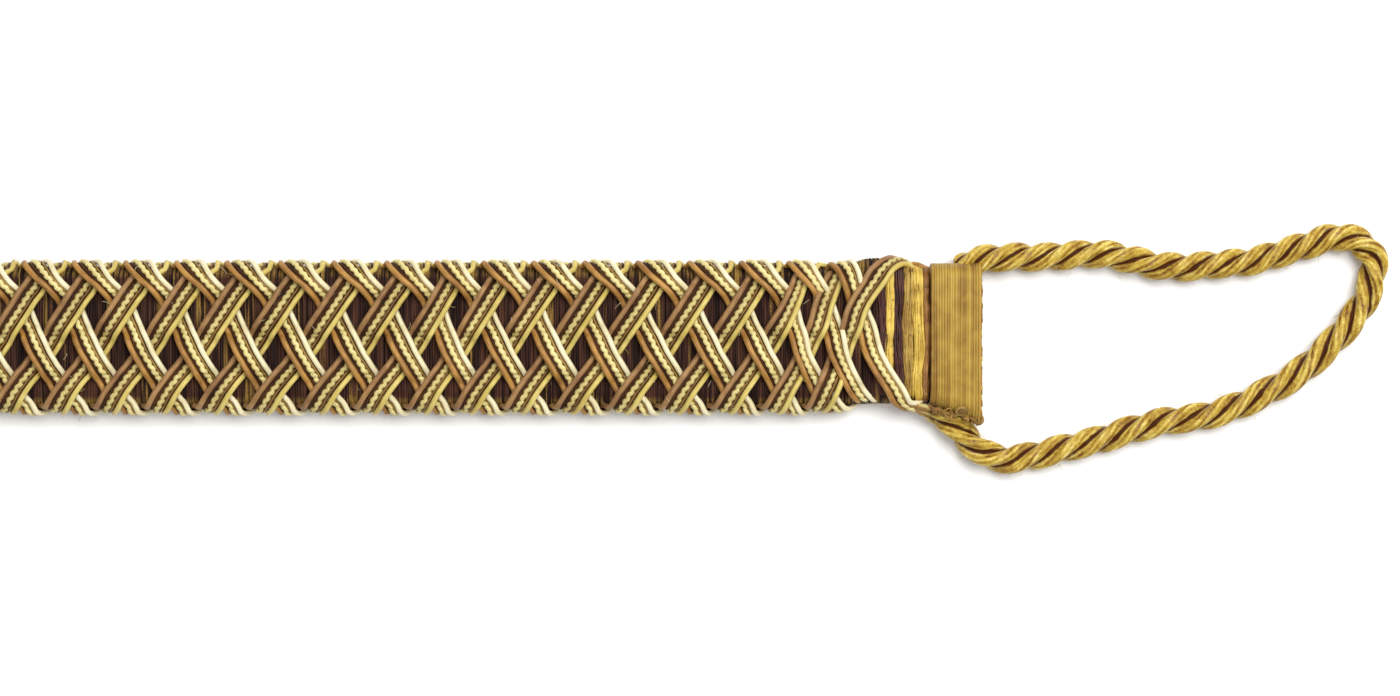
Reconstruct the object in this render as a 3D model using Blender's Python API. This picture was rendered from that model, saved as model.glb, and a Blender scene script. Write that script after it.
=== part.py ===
# A braided curtain tieback: a flat woven band with a thread-bound collar and a rope loop at each end.
# It lies on its back. Metres, +Z up, X along the band, origin under the middle of the band.

import math

import bmesh
import bpy
from mathutils import Vector

# Band
BAND_LENGTH = 0.391  # from the outer face of one collar to the outer face of the other
FLAT_HALF = 0.0173  # half the flat width of the braid's middle surface
EDGE_RADIUS = 0.0050  # radius of the same surface round the band's long edges
END_NARROWING = 0.0010  # how much the flat half width shrinks towards a collar

# Braid
STRIPS = 4  # strips that run each way
ADVANCE = 0.0632  # length of band in one turn of a strip
CROWDED_FROM = 0.0470  # distance from a collar's outer face at which the turns close up
CROWDED_TURNS = 0.25  # how many turns lie close together
CROWDED_ADVANCE = 0.041  # length of band in one such turn
UPWARD_ADVANCE = 0.083  # past them, for a strip that makes for the +Y edge
DOWNWARD_ADVANCE = 0.050  # past them, for a strip that makes for the -Y edge
ADVANCE_SOFTNESS = 0.03  # how gently one stretch passes into the next, in turns
NARROW_FROM = 0.0560  # distance from a collar's outer face at which the strips start to narrow
NARROW_TO = 0.0380  # and where they are at their narrowest
ROW_OFFSET = 0.0488  # place of the first row of crossings, in turns from the +Y edge
FALLING_WIDTH = 0.0066  # strips that run down to the right on the upper face
RISING_WIDTH = 0.0074  # strips that run up to the right
STRIP_THICKNESS = 0.0014
STRIP_CROWN = 0.0003  # how far a strip's edges lie below its middle
WEAVE_LIFT = 0.00120  # a strip's rise over or under the middle surface
HOLD = 0.048  # half the stretch, in turns, that a strip stays over or under at a crossing
END_HOLD = 0.045  # how much longer it stays so at its last crossing
EDGE_STOP = 0.040  # how far short of the edge, in turns, a strip turns towards the collar
TURN_SOFTNESS = 0.022  # how gently it turns there, in turns
END_WIDTH = 0.72  # the share of its width that a strip keeps where it goes into the collar
LAST_EDGE = 0.0205  # where the last rising strip meets the edge, from the collar's outer face
END_REACH = 0.20  # turns past that place in which the last falling strips still end
LATE_MARGIN = 0.05  # in turns: a strip that ends later than this before that place lies outside

# Core
CORE_RADIUS = 0.0026
CORE_INSET = 0.0008  # how much narrower the core is than the braid's middle surface
CORE_END_INSET = 0.0008  # how much more so beside a collar
CORE_SWELL = 0.0013  # how much thicker the bare core is beside a collar
SWELL_START_RIGHT = 0.0235  # where the swelling starts, from the collar's outer face
SWELL_START_LEFT = 0.0215

# Collar
COLLAR_LENGTH = 0.0164
COLLAR_TOP = 0.0231  # its +Y side at the right end
COLLAR_LOW_INNER = -0.0206  # its -Y side, where the band goes in
COLLAR_LOW_OUTER = -0.0268  # its -Y side at the outer face
COLLAR_THICKNESS = 0.0132
COLLAR_ROUNDING = 0.0052
THREAD_TURNS = 8
THREAD_RELIEF = 0.00025

# Rope loop
ROPE_DIAMETER = 0.0088
ROPE_LAY = 0.0298  # length of one full turn of a strand
ROPE_STRANDS = 3
ROPE_GROOVE = 0.74  # radius in the groove between strands, as a share of the rope's radius
ROPE_STEP = 0.0040
ROPE_HEIGHT = 0.0045  # height of the rope's middle where it lies flat
EXIT_HEIGHT = 0.0060  # height of its middle where it leaves the collar
SOCKET_CLEARANCE = 0.00035
SOCKET_LENGTH = 0.014

# Route of the right loop's middle line, from the collar's outer face and the band's middle line
LOOP_ROUTE = (
    (-0.0075, 0.0244),
    (0.0012, 0.0246),
    (0.0096, 0.0250),
    (0.0195, 0.0250),
    (0.0295, 0.0257),
    (0.0381, 0.0259),
    (0.0468, 0.0243),
    (0.0543, 0.0225),
    (0.0642, 0.0219),
    (0.0741, 0.0228),
    (0.0840, 0.0237),
    (0.0939, 0.0264),
    (0.1026, 0.0291),
    (0.1107, 0.0313),
    (0.1175, 0.0299),
    (0.1218, 0.0253),
    (0.1218, 0.0188),
    (0.1194, 0.0116),
    (0.1144, 0.0042),
    (0.1076, -0.0033),
    (0.0989, -0.0110),
    (0.0890, -0.0169),
    (0.0791, -0.0215),
    (0.0691, -0.0245),
    (0.0580, -0.0259),
    (0.0468, -0.0287),
    (0.0369, -0.0318),
    (0.0270, -0.0341),
    (0.0171, -0.0366),
    (0.0084, -0.0378),
    (0.0016, -0.0361),
    (-0.0037, -0.0318),
    (-0.0095, -0.0245),
)

# Fineness of the solids
GAP = 0.0003
FIT = 0.00045  # how far a strip's facets may stray from its true surface
SAMPLES_PER_TURN = 160
HEADING_STEP = 0.002  # how far ahead, in turns, a strip's heading is read
FLOOR_SNAP = 0.0004  # points this near the surface lie flat on it
CORE_STEPS = 5  # facets in a quarter of the core's rounded edge
CORE_END_STEPS = 6  # stretches of the core in which it narrows and swells
CORNER_STEPS = 3  # facets in each rounded corner of a collar
ROPE_CORNERS = 3  # corners in each strand of the rope, one of them in the groove
STRAIGHT_POINTS = 3  # points of the loop's route over which it comes down to the surface
SOCKET_SIDES = 24
ROUTE_SAMPLES = 12

HALF_LENGTH = BAND_LENGTH / 2
COLLAR_FACE = HALF_LENGTH - COLLAR_LENGTH
MIDDLE_HEIGHT = EDGE_RADIUS + WEAVE_LIFT + STRIP_THICKNESS / 2
ROWS = 2 * STRIPS
FALLING = 1
RISING = -1


def clear_scene():
    for old in list(bpy.data.objects):
        bpy.data.objects.remove(old, do_unlink=True)


def new_collection(name):
    collection = bpy.data.collections.new(name)
    bpy.context.scene.collection.children.link(collection)
    return collection


def new_material(name, colour, roughness):
    material = bpy.data.materials.new(name)
    material.use_nodes = True
    shader = material.node_tree.nodes["Principled BSDF"]
    shader.inputs["Base Color"].default_value = (*colour, 1.0)
    shader.inputs["Roughness"].default_value = roughness
    shader.inputs["Metallic"].default_value = 0.0
    return material


# Closed rings of points, joined one to the next, with both ends capped
def loft(name, rings, material, collection):
    mesh = bpy.data.meshes.new(name)
    shape = bmesh.new()
    loops = [[shape.verts.new(point) for point in ring] for ring in rings]
    for ring, following in zip(loops, loops[1:]):
        for i, corner in enumerate(ring):
            j = (i + 1) % len(ring)
            shape.faces.new((corner, ring[j], following[j], following[i]))
    shape.faces.new(reversed(loops[0]))
    shape.faces.new(loops[-1])
    bmesh.ops.recalc_face_normals(shape, faces=shape.faces)
    bmesh.ops.triangulate(shape, faces=shape.faces)
    shape.to_mesh(mesh)
    shape.free()
    mesh.shade_smooth()
    mesh.materials.append(material)
    made = bpy.data.objects.new(name, mesh)
    collection.objects.link(made)
    return made


def turned(points):
    return [Vector((-point[0], -point[1], point[2])) for point in points]


def smooth(share):
    share = min(max(share, 0.0), 1.0)
    return share * share * (3 - 2 * share)


# The larger of a number and zero, with its corner rounded
def soft_positive(value, softness):
    return max(value, 0.0) + softness * math.log1p(math.exp(-abs(value) / softness))


def soft_limit(value, low, high):
    return low + soft_positive(high - low - soft_positive(high - value, TURN_SOFTNESS), TURN_SOFTNESS)


# Band length reached by a strip that has made this many turns, counted from the band's middle
def reach(turns, direction):
    far = abs(turns)
    crowded = far - (HALF_LENGTH - CROWDED_FROM) / ADVANCE
    past = crowded - CROWDED_TURNS
    last_advance = DOWNWARD_ADVANCE if turns * direction > 0 else UPWARD_ADVANCE
    length = ADVANCE * far
    length += (CROWDED_ADVANCE - ADVANCE) * soft_positive(crowded, ADVANCE_SOFTNESS)
    length += (last_advance - CROWDED_ADVANCE) * soft_positive(past, ADVANCE_SOFTNESS)
    return math.copysign(length, turns)


# The turns in which a strip gets to a place at one end of the band
def turns_at(place, end, direction):
    low, high = 0.0, 2 * HALF_LENGTH / ADVANCE
    for _ in range(50):
        middle = (low + high) / 2
        if abs(reach(end * middle, direction)) < place:
            low = middle
        else:
            high = middle
    return end * low


EDGE_TURNS = turns_at(HALF_LENGTH - LAST_EDGE, 1, RISING)


# 0 along the even part of the band, rising to 1 beside a collar
def nearness(place):
    return smooth((abs(place) - HALF_LENGTH + NARROW_FROM) / (NARROW_FROM - NARROW_TO))


def flat_half(place):
    return FLAT_HALF - END_NARROWING * nearness(place)


def perimeter(place):
    return 4 * flat_half(place) + 2 * math.pi * EDGE_RADIUS


# A point at some height over the flat oval, from the +Y edge over the upper face and back beneath
def on_oval(place, turns, height):
    flat = flat_half(place)
    way = (turns % 1.0) * perimeter(place)
    quarter = math.pi * EDGE_RADIUS / 2
    upper = quarter + 2 * flat
    lower = upper + 2 * quarter
    if way < quarter:
        centre, angle = flat, way / EDGE_RADIUS
    elif way < upper:
        centre, angle = flat - (way - quarter), math.pi / 2
    elif way < lower:
        centre, angle = -flat, math.pi / 2 + (way - upper) / EDGE_RADIUS
    elif way < lower + 2 * flat:
        centre, angle = way - lower - flat, 3 * math.pi / 2
    else:
        centre, angle = flat, 3 * math.pi / 2 + (way - lower - 2 * flat) / EDGE_RADIUS
    radius = EDGE_RADIUS + height
    z = MIDDLE_HEIGHT + radius * math.sin(angle)
    return Vector((place, centre + radius * math.cos(angle), 0.0 if z < FLOOR_SNAP else z))


# Each strip as its direction, its place in the middle of the band, and the turns at which it ends
def make_strips():
    falling_start = 2 * ROW_OFFSET - EDGE_TURNS
    strips = []
    for direction, start in ((FALLING, falling_start), (RISING, EDGE_TURNS)):
        for number in range(STRIPS):
            base = start + number / STRIPS
            last = EDGE_TURNS + END_REACH
            right = last - (direction * base + last) % 0.5
            left = -last + (0.5 - (direction * base - last) % 0.5) % 0.5
            strips.append({"direction": direction, "base": base, "left": left, "right": right})
    return strips


def is_late(turns):
    return abs(turns) > EDGE_TURNS - LATE_MARGIN


# Turns at which a strip meets those that run the other way, and whether it passes over (1) or under (-1)
def crossings(strip, strips):
    met = []
    for other in strips:
        if other["direction"] == strip["direction"]:
            continue
        first = (other["base"] - strip["base"]) * strip["direction"] / 2
        start = max(strip["left"], other["left"])
        end = min(strip["right"], other["right"])
        turns = first + math.ceil((start - first) * 2) / 2
        while turns < end:
            place = strip["base"] + strip["direction"] * turns
            row = round((place - ROW_OFFSET) * ROWS)
            falling_over = 1 if row % 2 == 0 else -1
            met.append((turns, falling_over * strip["direction"]))
            turns += 0.5
    return sorted(met)


# At the right end the last strips lie outside, at the left end inside
def level_stops(strip, strips):
    met = crossings(strip, strips)
    left_level = -1 if is_late(strip["left"]) else 1
    right_level = 1 if is_late(strip["right"]) else -1
    first, last = met[0], met[-1]
    before = [(first[0] - END_HOLD - 1 / ROWS, left_level), (first[0] - END_HOLD, first[1])]
    after = [(last[0] + END_HOLD, last[1]), (last[0] + END_HOLD + 1 / ROWS, right_level)]
    return before + met + after


def level_at(turns, stops):
    if turns <= stops[0][0]:
        return stops[0][1]
    for (here, level), (there, following) in zip(stops, stops[1:]):
        if turns <= there and level == following:
            return level
        if turns <= there:
            share = (turns - here - HOLD) / (there - here - 2 * HOLD)
            return level + (following - level) * min(max(share, 0.0), 1.0)
    return stops[-1][1]


def strip_centre(strip, turns):
    held = soft_limit(turns, strip["left"] + EDGE_STOP, strip["right"] - EDGE_STOP)
    return reach(turns, strip["direction"]), strip["base"] + strip["direction"] * held


def strip_ring(strip, stops, turns):
    width = FALLING_WIDTH if strip["direction"] == FALLING else RISING_WIDTH
    place, around = strip_centre(strip, turns)
    width *= 1 - (1 - END_WIDTH) * nearness(place)
    place_after, around_after = strip_centre(strip, turns + HEADING_STEP)
    along = Vector((place_after - place, (around_after - around) * perimeter(place), 0.0)).normalized()
    limit = COLLAR_FACE - GAP
    outer, inner = [], []
    for side in (-1, 0, 1):
        shift = side * width / 2
        x = min(max(place - along.y * shift, -limit), limit)
        turn = around + along.x * shift / perimeter(place)
        height = WEAVE_LIFT * level_at(turns, stops)
        outer.append(on_oval(x, turn, height + STRIP_THICKNESS / 2 - abs(side) * STRIP_CROWN))
        if side:
            inner.append(on_oval(x, turn, height - STRIP_THICKNESS / 2))
    return outer + inner[::-1]


# The fewest rings that keep the facets within FIT of the finely sampled strip
def thinned(rings):
    kept = {0, len(rings) - 1}
    spans = [(0, len(rings) - 1)]
    while spans:
        first, last = spans.pop()
        worst, where = 0.0, None
        for i in range(first + 1, last):
            share = (i - first) / (last - first)
            for a, b, point in zip(rings[first], rings[last], rings[i]):
                stray = (a.lerp(b, share) - point).length
                if stray > worst:
                    worst, where = stray, i
        if where is not None and worst > FIT:
            kept.add(where)
            spans += [(first, where), (where, last)]
    return [rings[i] for i in sorted(kept)]


def make_braid(material, collection):
    strips = make_strips()
    names = {FALLING: 0, RISING: 0}
    for strip in strips:
        names[strip["direction"]] += 1
        word = "falling" if strip["direction"] == FALLING else "rising"
        stops = level_stops(strip, strips)
        start, end = (turns_at(COLLAR_FACE - GAP, side, strip["direction"]) for side in (-1, 1))
        steps = round((end - start) * SAMPLES_PER_TURN)
        turns = [start + (end - start) * i / steps for i in range(steps + 1)]
        rings = thinned([strip_ring(strip, stops, turn) for turn in turns])
        loft(f"strip_{word}_{names[strip['direction']]}", rings, material, collection)


def core_ring(place):
    from_right = HALF_LENGTH - place
    from_left = HALF_LENGTH + place
    swell = CORE_SWELL * (
        smooth((SWELL_START_RIGHT - from_right) / (SWELL_START_RIGHT - COLLAR_LENGTH))
        + smooth((SWELL_START_LEFT - from_left) / (SWELL_START_LEFT - COLLAR_LENGTH))
    )
    flat = flat_half(place) - CORE_INSET - CORE_END_INSET * nearness(place)
    ring = []
    for side in (1, -1):
        for i in range(CORE_STEPS + 1):
            angle = side * math.pi / 2 - side * math.pi * i / CORE_STEPS
            y = side * (flat + CORE_RADIUS * math.cos(angle))
            ring.append(Vector((place, y, MIDDLE_HEIGHT + CORE_RADIUS * math.sin(angle))))
        ring.append(Vector((place, 0.0, MIDDLE_HEIGHT - side * (CORE_RADIUS + swell))))
    return ring


def make_core(material, collection):
    limit = COLLAR_FACE - GAP
    even = HALF_LENGTH - NARROW_FROM
    right = [even + (limit - even) * i / CORE_END_STEPS for i in range(CORE_END_STEPS + 1)]
    left = [-place for place in reversed(right)]
    loft("core", [core_ring(place) for place in left + right], material, collection)


# The outline of a collar at one place along it, with the flat underside on the surface
def collar_ring(place, relief):
    share = place / COLLAR_LENGTH
    low = COLLAR_LOW_OUTER + (COLLAR_LOW_INNER - COLLAR_LOW_OUTER) * share
    x = HALF_LENGTH - place
    corners = (
        (low + COLLAR_ROUNDING, COLLAR_ROUNDING, 180),
        (COLLAR_TOP - COLLAR_ROUNDING, COLLAR_ROUNDING, 270),
        (COLLAR_TOP - COLLAR_ROUNDING, COLLAR_THICKNESS - COLLAR_ROUNDING, 0),
        (low + COLLAR_ROUNDING, COLLAR_THICKNESS - COLLAR_ROUNDING, 90),
    )
    ring = []
    for y, z, start in corners:
        for step in range(CORNER_STEPS + 1):
            angle = math.radians(start + 90 * step / CORNER_STEPS)
            out = COLLAR_ROUNDING + relief
            height = z + out * math.sin(angle)
            ring.append(Vector((x, y + out * math.cos(angle), 0.0 if height < FLOOR_SNAP else height)))
    return ring


def smooth_route(points):
    path = []
    last = len(points) - 1
    for i in range(last):
        before, here = points[max(i - 1, 0)], points[i]
        there, after = points[i + 1], points[min(i + 2, last)]
        for step in range(ROUTE_SAMPLES):
            t = step / ROUTE_SAMPLES
            path.append(
                0.5 * (2 * here + (there - before) * t
                       + (2 * before - 5 * here + 4 * there - after) * t * t
                       + (3 * here - before - 3 * there + after) * t * t * t)
            )
    path.append(points[last])
    return path


def evenly(path, step):
    lengths = [0.0]
    for here, there in zip(path, path[1:]):
        lengths.append(lengths[-1] + (there - here).length)
    count = max(round(lengths[-1] / step), 1)
    even, at = [], 0
    for i in range(count + 1):
        target = lengths[-1] * i / count
        while at < len(path) - 2 and lengths[at + 1] < target:
            at += 1
        share = (target - lengths[at]) / (lengths[at + 1] - lengths[at])
        even.append(path[at].lerp(path[at + 1], min(share, 1.0)))
    return even


def route_points():
    last = len(LOOP_ROUTE) - 1
    points = []
    for i, (x, y) in enumerate(LOOP_ROUTE):
        near_end = min(i, last - i)
        height = EXIT_HEIGHT + (ROPE_HEIGHT - EXIT_HEIGHT) * min(near_end / STRAIGHT_POINTS, 1.0)
        points.append(Vector((HALF_LENGTH + x, y, height)))
    return points


def rope_rings():
    path = evenly(smooth_route(route_points()), ROPE_STEP)
    up = Vector((0.0, 0.0, 1.0))
    corners = ROPE_STRANDS * ROPE_CORNERS
    rings, run = [], 0.0
    for i, point in enumerate(path):
        ahead = (path[min(i + 1, len(path) - 1)] - path[max(i - 1, 0)]).normalized()
        side = up.cross(ahead).normalized()
        over = ahead.cross(side)
        if i:
            run += (point - path[i - 1]).length
        ring = []
        for corner in range(corners):
            angle = 2 * math.pi * (corner / corners - run / ROPE_LAY)
            radius = ROPE_DIAMETER / 2 * (ROPE_GROOVE if corner % ROPE_CORNERS == 0 else 1.0)
            ring.append(point + radius * (side * math.cos(angle) + over * math.sin(angle)))
        rings.append(ring)
    return rings


# A round hole in a collar for one end of the rope
def make_socket(name, end, following, collection):
    direction = (following - end).normalized()
    middle = end + direction * (SOCKET_LENGTH / 2 - GAP)
    bpy.ops.mesh.primitive_cylinder_add(
        vertices=SOCKET_SIDES,
        radius=ROPE_DIAMETER / 2 + SOCKET_CLEARANCE,
        depth=SOCKET_LENGTH,
        location=middle,
    )
    socket = bpy.context.object
    socket.name = name
    socket.rotation_mode = "QUATERNION"
    socket.rotation_quaternion = direction.to_track_quat("Z", "Y")
    socket.hide_render = True
    socket.display_type = "WIRE"
    for holder in list(socket.users_collection):
        holder.objects.unlink(socket)
    collection.objects.link(socket)
    return socket


def make_end(word, place_points, rope_material, thread_material, collection, cutters):
    rings = rope_rings()
    loft(f"loop_{word}", [place_points(ring) for ring in rings], rope_material, collection)
    collar_rings = []
    for i in range(2 * THREAD_TURNS + 1):
        relief = 0.0 if i % 2 == 0 else THREAD_RELIEF
        ring = collar_ring(COLLAR_LENGTH * i / (2 * THREAD_TURNS), relief)
        collar_rings.append(place_points(ring))
    collar = loft(f"collar_{word}", collar_rings, thread_material, collection)
    route = place_points(route_points())
    for number, (end, following) in enumerate(((route[0], route[1]), (route[-1], route[-2])), 1):
        cut = collar.modifiers.new(f"socket {number}", "BOOLEAN")
        cut.operation = "DIFFERENCE"
        cut.solver = "EXACT"
        cut.object = make_socket(f"socket_{word}_{number}", end, following, cutters)


def main():
    clear_scene()
    collection = new_collection("curtain tieback")
    cutters = new_collection("cutters")
    yarn = new_material("braided yarn", (0.35, 0.21, 0.075), 0.55)
    winding = new_material("core yarn", (0.06, 0.022, 0.014), 0.6)
    thread = new_material("binding thread", (0.46, 0.30, 0.07), 0.5)
    rope = new_material("twisted rope", (0.52, 0.36, 0.09), 0.5)
    make_core(winding, collection)
    make_braid(yarn, collection)
    make_end("right", list, rope, thread, collection, cutters)
    make_end("left", turned, rope, thread, collection, cutters)


main()
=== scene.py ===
# A braided curtain tieback in gold and brown yarn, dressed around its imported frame.
# Metres, +Z up. The band runs along X and lies on its back, with a rope loop at each end.

import random
from math import ceil, copysign, cos, exp, hypot, log1p, pi, radians, sin, sqrt, tau

import bmesh
import bpy
from mathutils import Matrix, Vector, noise


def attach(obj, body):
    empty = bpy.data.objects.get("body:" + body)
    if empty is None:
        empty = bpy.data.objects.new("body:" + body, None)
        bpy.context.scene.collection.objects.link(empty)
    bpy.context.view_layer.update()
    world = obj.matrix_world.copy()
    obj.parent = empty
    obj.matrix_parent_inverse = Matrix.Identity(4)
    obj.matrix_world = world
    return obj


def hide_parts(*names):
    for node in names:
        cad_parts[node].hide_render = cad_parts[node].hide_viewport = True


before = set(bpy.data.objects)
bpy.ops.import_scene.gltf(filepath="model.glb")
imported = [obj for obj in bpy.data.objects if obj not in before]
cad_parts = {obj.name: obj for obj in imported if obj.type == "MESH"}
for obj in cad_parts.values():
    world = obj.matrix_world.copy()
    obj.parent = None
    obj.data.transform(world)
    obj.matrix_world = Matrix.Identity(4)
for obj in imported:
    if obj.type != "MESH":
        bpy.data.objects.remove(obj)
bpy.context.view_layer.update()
scene = bpy.context.scene
print("frame loaded")


def stand(name, data):  # a new object in the scene
    thing = bpy.data.objects.new(name, data)
    scene.collection.objects.link(thing)
    return thing


# ---- camera: straight down, at the photograph's scale
view = {
    "width": 0.434,  # of the picture, at the height of the band's middle
    "middle": (0.10839, -0.003255),
    "height": 0.007,
    "lens": 85.0,
    "sensor": 36.0,
}


def makeCamera():
    lens = bpy.data.cameras.new("camera")
    lens.type = "PERSP"
    lens.lens = view["lens"]
    lens.sensor_width = view["sensor"]
    lens.clip_start = 0.01
    camera = stand("camera", lens)
    distance = view["width"] * view["lens"] / view["sensor"]
    camera.location = (*view["middle"], view["height"] + distance)
    scene.camera = camera


makeCamera()
print("camera set")


# ---- shader helper
class Wire:
    def __init__(self, tree, socket=None):
        self.tree = tree
        self.socket = socket

    def make(self, kind, settings=None, inputs=None, output=0):
        node = self.tree.nodes.new(kind)
        for key, value in (settings or {}).items():
            if key == "stops":
                ramp = node.color_ramp
                while len(ramp.elements) < len(value):
                    ramp.elements.new(1.0)
                for element, (place, colour) in zip(ramp.elements, value):
                    element.position = place
                    element.color = (*colour, 1.0)
            else:
                setattr(node, key, value)
        for key, value in (inputs or {}).items():
            socket = node.inputs[key]
            if isinstance(value, Wire):
                self.tree.links.new(value.socket, socket)
            else:
                socket.default_value = value
        return Wire(self.tree, node.outputs[output])

    def maths(self, operation, first, second):
        return self.make("ShaderNodeMath", {"operation": operation}, {0: first, 1: second})

    def __add__(self, other):
        return self.maths("ADD", self, other)

    def __radd__(self, other):
        return self.maths("ADD", other, self)

    def __sub__(self, other):
        return self.maths("SUBTRACT", self, other)

    def __rsub__(self, other):
        return self.maths("SUBTRACT", other, self)

    def __mul__(self, other):
        return self.maths("MULTIPLY", self, other)

    def __rmul__(self, other):
        return self.maths("MULTIPLY", other, self)


def blendColours(factor, low, high):
    settings = {"data_type": "RGBA", "blend_type": "MIX"}
    low, high = ((*c, 1.0) if isinstance(c, tuple) else c for c in (low, high))
    return factor.make("ShaderNodeMix", settings, {0: factor, 6: low, 7: high}, 2)


def between(value, low=0.3, high=0.7):  # 0 below low, 1 above high, smooth in between
    settings = {"interpolation_type": "SMOOTHSTEP", "clamp": True}
    return value.make("ShaderNodeMapRange", settings, {"Value": value, "From Min": low, "From Max": high})


def grain(coordinates, scale, detail=2.0, stretch=(1.0, 1.0, 1.0)):  # noise, 0 to 1
    placed = coordinates.make("ShaderNodeMapping", None, {"Vector": coordinates, "Scale": stretch})
    inputs = {"Vector": placed, "Scale": scale, "Detail": detail}
    return coordinates.make("ShaderNodeTexNoise", None, inputs)


def startMaterial(name, roughness, gloss=0.3, sheen=0.0):
    material = bpy.data.materials.new(name)
    material.use_nodes = True
    shader = material.node_tree.nodes["Principled BSDF"]
    for key, value in (("Roughness", roughness), ("Specular IOR Level", gloss), ("Sheen Weight", sheen)):
        shader.inputs[key].default_value = value
    shader.inputs["Sheen Roughness"].default_value = 0.4
    wire = Wire(material.node_tree)
    return material, shader, wire.make("ShaderNodeTexCoord", output="Object")


def joinUp(material, shader, colour, bump=None, strength=0.3, depth=0.0001, roughness=None):
    links = material.node_tree.links
    links.new(colour.socket, shader.inputs["Base Color"])
    if roughness is not None:
        links.new(roughness.socket, shader.inputs["Roughness"])
    if bump is not None:
        inputs = {"Height": bump, "Strength": strength, "Distance": depth}
        links.new(bump.make("ShaderNodeBump", None, inputs).socket, shader.inputs["Normal"])
    return material


def splitUp(vector, axis):
    return vector.make("ShaderNodeSeparateXYZ", None, {"Vector": vector}, axis)


# ---- a smooth or plied cord: fine fibres along it, a faint wrap round it and slow changes of tone
cordLook = {
    "wrap": 1300.0,  # turns of the wrap over a cord's length
    "fibres": (260.0, 9.0, 1.0),  # how often they repeat along and round a cord
    "patches": 130.0,
    "sheen": 0.05,
    "relief": 0.00008,
}


def cordMaterial(name, dark, light, roughness=0.42, gloss=0.35):
    material, shader, body = startMaterial(name, roughness, gloss, cordLook["sheen"])
    along = body.make("ShaderNodeTexCoord", output="UV")
    fibres = grain(along, 1.0, 3.0, cordLook["fibres"])
    patches = grain(body, cordLook["patches"], 2.0)
    turns = splitUp(along, 0) * cordLook["wrap"] + splitUp(along, 1)
    ridges = turns.make("ShaderNodeMath", {"operation": "SINE"}, {0: turns * tau}) * 0.5 + 0.5
    tone = fibres * 0.55 + patches * 0.6 + ridges * 0.12 - 0.12
    colour = blendColours(between(tone, 0.25, 0.85), dark, light)
    rough = fibres * 0.25 + (roughness - 0.12)
    return joinUp(material, shader, colour, ridges * 0.6 + fibres, 0.5, cordLook["relief"], rough)


finishes = {
    # the falling strips' brown is lighter than the rising strips' one: partly its own tone, partly painted
    # highlight
    "brownFalling": cordMaterial("brown cord, falling", (0.2, 0.08, 0.012), (0.56, 0.3, 0.07)),
    "brownRising": cordMaterial("brown cord, rising", (0.18, 0.078, 0.026), (0.44, 0.25, 0.092)),
    "dark": cordMaterial("dark brown cord", (0.016, 0.005, 0.002), (0.098, 0.036, 0.01), 0.7, 0.15),
    "ochre": cordMaterial("ochre cord", (0.14, 0.068, 0.01), (0.46, 0.28, 0.055)),
    # painted highlight: the tan ply of the falling strips, lighter where the light runs across it
    "tanPlyPaintedHighlight": cordMaterial("tan ply, painted highlight", (0.58, 0.46, 0.15), (0.84, 0.75, 0.36), 0.36),
    "tanPly": cordMaterial("tan ply", (0.42, 0.32, 0.1), (0.7, 0.61, 0.25), 0.4),
    "brownPly": cordMaterial("brown ply", (0.1, 0.042, 0.008), (0.32, 0.17, 0.035), 0.5),
    "gold": cordMaterial("gold cord", (0.46, 0.33, 0.06), (0.75, 0.62, 0.2), 0.34),
    # painted highlight: the gold cord of the falling strips, made near white where the light runs across it
    "goldPaintedHighlight": cordMaterial("gold cord, painted highlight", (0.66, 0.56, 0.29), (0.9, 0.84, 0.6), 0.3),
}
print("cord materials made")

# ---- the band's shape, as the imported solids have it
band = {
    "length": 0.391,
    "flatHalf": 0.0173,
    "edgeRadius": 0.005,
    "endNarrowing": 0.001,
    "weaveLift": 0.0012,
    "thickness": 0.0014,
    "bulgeAlong": (0.148, 0.014, 0.167, 0.011),  # from where, growing over, to where, falling over
    "bulgeOut": 0.0022,
    "bulgeOutRise": (0.008, 0.012),
    "bulgeIn": 0.0008,
    "bulgeInRise": (0.01, 0.012),
}
braid = {
    "strips": 4,
    "advance": 0.0632,
    "crowdedFrom": 0.047,
    "crowdedTurns": 0.25,
    "crowdedAdvance": 0.041,
    "upwardAdvance": 0.083,
    "downwardAdvance": 0.05,
    "softness": 0.03,
    "narrowFrom": 0.056,
    "narrowTo": 0.038,
    "rowOffset": 0.0488,
    "fallingWidth": 0.0066,
    "risingWidth": 0.0074,
    "hold": 0.048,
    "endHold": 0.045,
    "edgePast": 0.045,  # turns that a strip goes on round the last edge, to run in below
    "edgeShort": 0.03,  # or that it stops short of it, when it's below already
    "turnSoftness": 0.022,
    "endWidth": 0.9,
    "lastEdge": 0.0205,
    "endReach": 0.2,
    "lateMargin": 0.05,
    "lookBack": 0.1,  # turns before its end, where a strip is asked which face it comes over
}
collar = {
    "length": 0.0164,
    "top": 0.0231,
    "lowInner": -0.0206,
    "lowOuter": -0.0268,
    "thickness": 0.0132,
    "rounding": 0.0052,
    "threadTurns": 19,
    "threadRadius": 0.00052,
    "threadJitter": 0.00006,
    "cornerSteps": 5,
    "bodyInset": 1.2,  # of the thread's radius
    "bodySegments": 6,
    "golds": (
        (0.08, (0.13, 0.05, 0.008)), (0.34, (0.27, 0.148, 0.022)), (0.62, (0.38, 0.24, 0.036)),
        (0.95, (0.51, 0.348, 0.064)),
    ),
    "innerShade": (0.0045, -0.0005),  # from the inner face
    "edgeBand": (-0.0016, -0.0009),  # from the outer one
    "edgeColour": (0.42, 0.235, 0.03),
    "relief": 0.00012,
}
halfLength = band["length"] / 2
collarFace = halfLength - collar["length"]
middleHeight = band["edgeRadius"] + band["weaveLift"] + band["thickness"] / 2
rows = 2 * braid["strips"]
falling, rising = 1, -1


def smooth(share):
    share = min(max(share, 0.0), 1.0)
    return share * share * (3 - 2 * share)


def rise(value, start, over):  # 0 before start, 1 after it by over
    return smooth((value - start) / over)


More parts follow.
